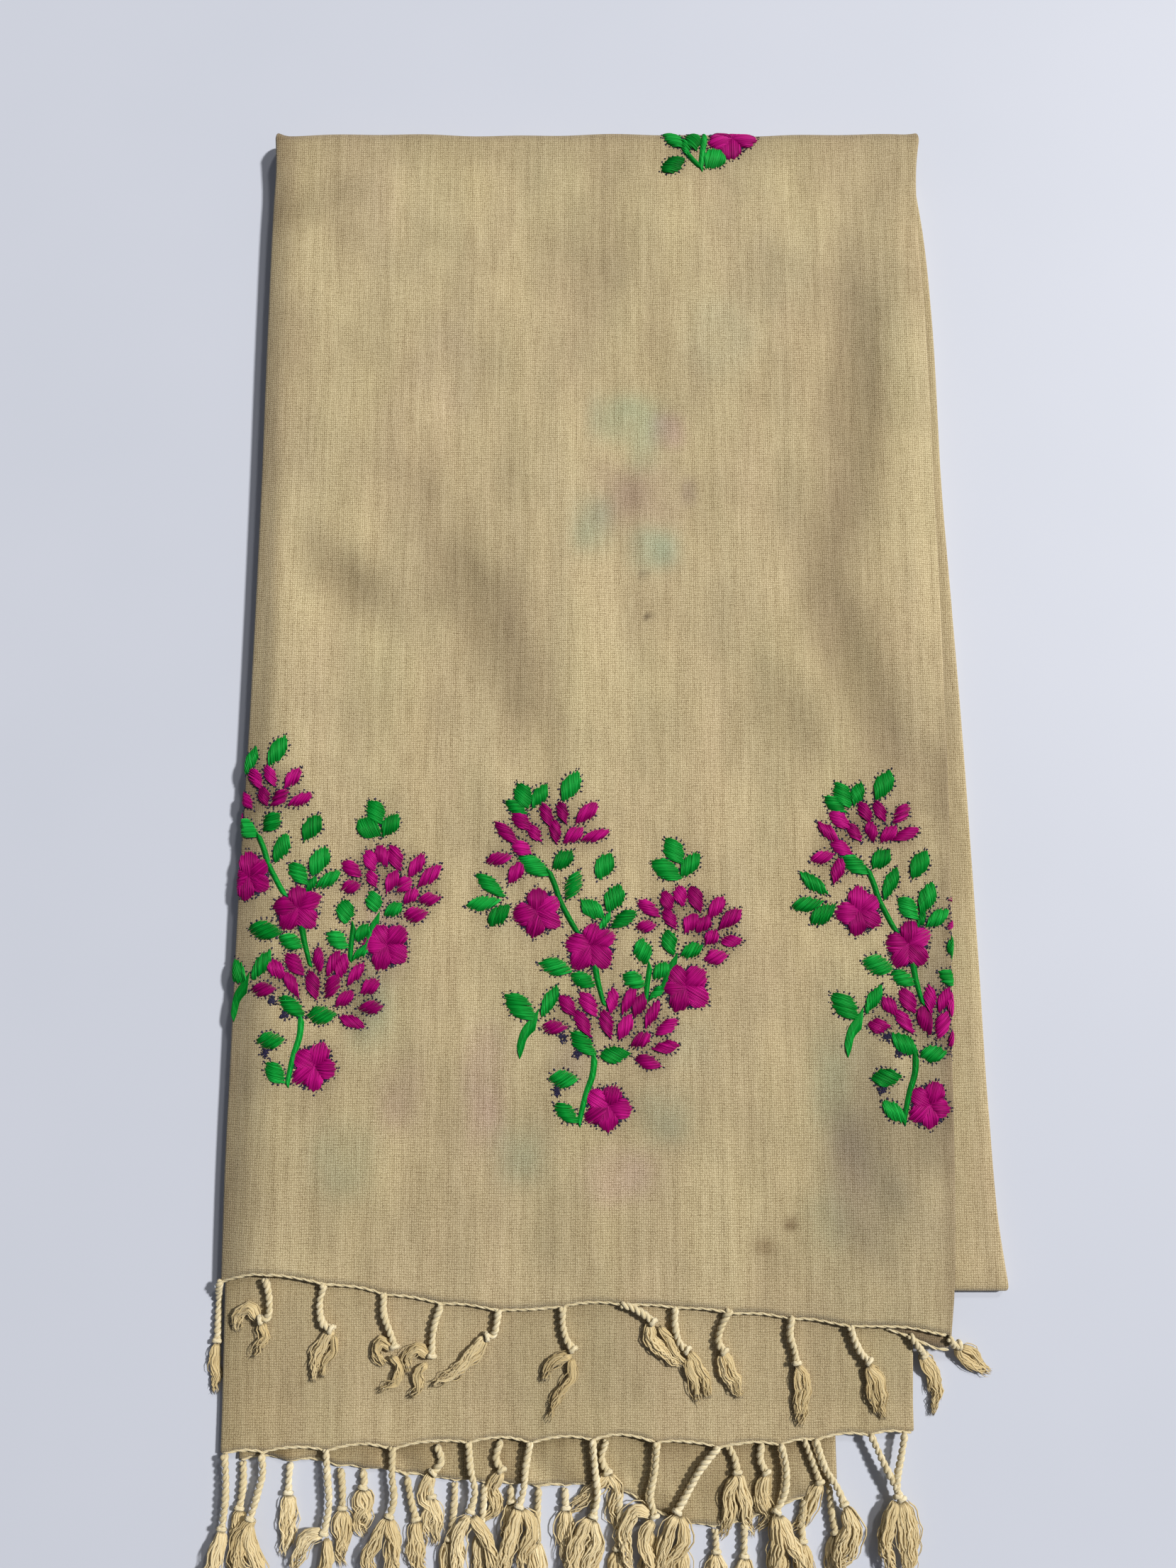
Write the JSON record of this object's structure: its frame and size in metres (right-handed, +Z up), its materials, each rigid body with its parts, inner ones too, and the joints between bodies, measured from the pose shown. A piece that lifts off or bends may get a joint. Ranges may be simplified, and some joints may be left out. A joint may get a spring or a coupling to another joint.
{
  "type": "folded shawl",
  "caption": "Long plain-woven shawl with embroidered flower sprays and twisted tassels, folded flat to lie on a table or shelf.",
  "frame": {"origin": "middle of the footprint, on the surface that the shawl lies on", "axes": "+X to the right, +Y away from the fringed side to the far turn, +Z up"},
  "size_m": [0.356, 0.6838, 0.0137],
  "materials": {
    "cloth": "undyed straw-coloured plain weave, matt",
    "cloth_inside": "the same cloth in the folds, matt",
    "tassel_yarn": "twisted undyed yarn, slight lustre",
    "petal_yarn": "magenta satin stitch, soft lustre",
    "leaf_yarn": "green satin stitch, soft lustre"
  },
  "bodies": {
    "root": {"front_stretch": "cloth", "second_stretch": "cloth", "third_stretch": "cloth", "turned_stretch": "cloth", "inner_layers": "cloth_inside", "front_fringe": "tassel_yarn", "inner_fringe": "tassel_yarn", "second_fringe": "tassel_yarn", "third_fringe": "tassel_yarn"}
  },
  "joints": []
}
